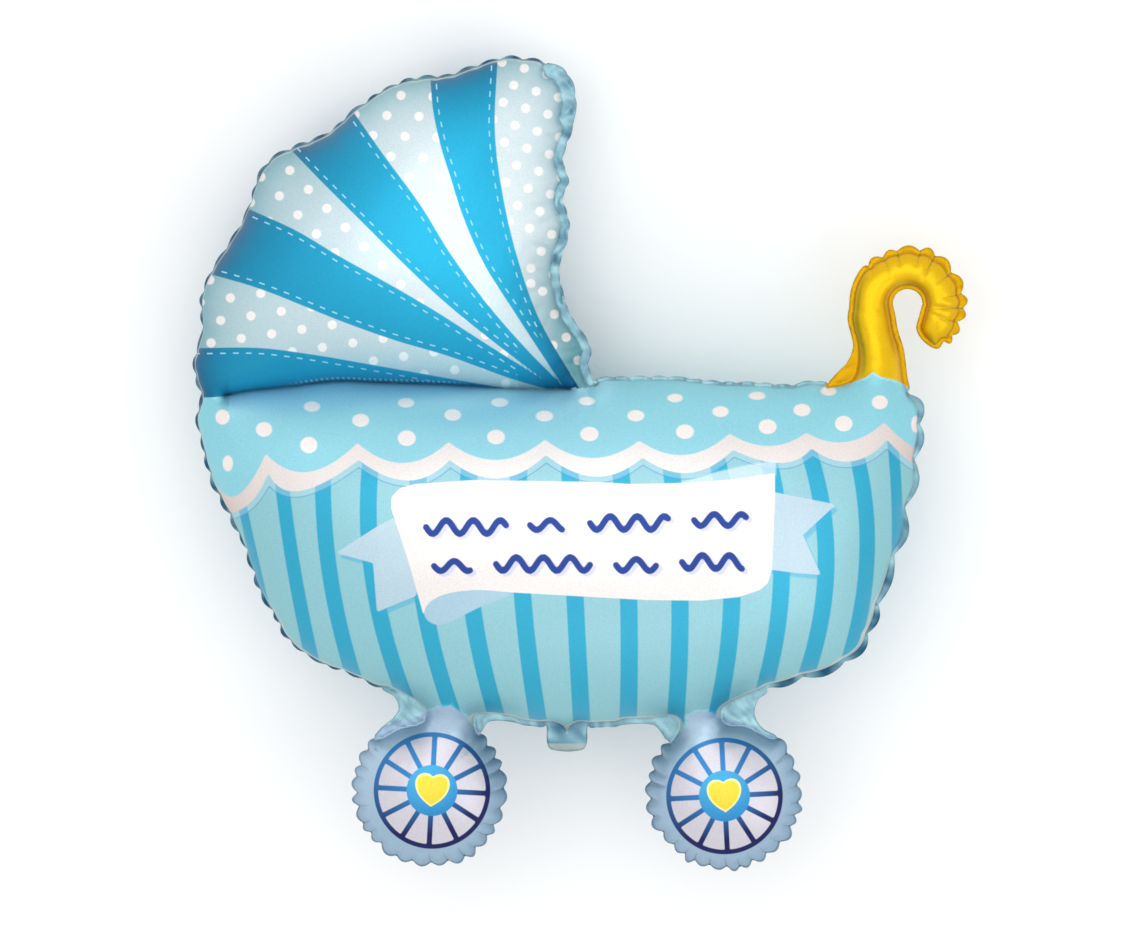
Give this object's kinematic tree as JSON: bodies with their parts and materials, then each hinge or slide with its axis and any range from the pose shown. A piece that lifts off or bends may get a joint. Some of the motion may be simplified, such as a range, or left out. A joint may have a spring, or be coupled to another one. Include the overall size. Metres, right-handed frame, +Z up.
{
  "type": "foil balloon",
  "caption": "Sealed foil balloon in the outline of a baby carriage: puffed hood and tub, hooked handle, disc wheels and a flat tail tab, lying on its back.",
  "frame": {"origin": "centre of the outline seen from above, on the floor that the back lies on", "axes": "+X from the hood's back towards the handle, +Y from the wheels towards the top of the hood, +Z up out of the printed front"},
  "size_m": [0.7768, 0.8084, 0.26],
  "materials": {
    "printed_foil": "printed metallised film, pale and mid blue on the pram, gold on the handle, silver on the tail tab"
  },
  "bodies": {
    "root": {"balloon": "printed_foil"}
  },
  "joints": []
}
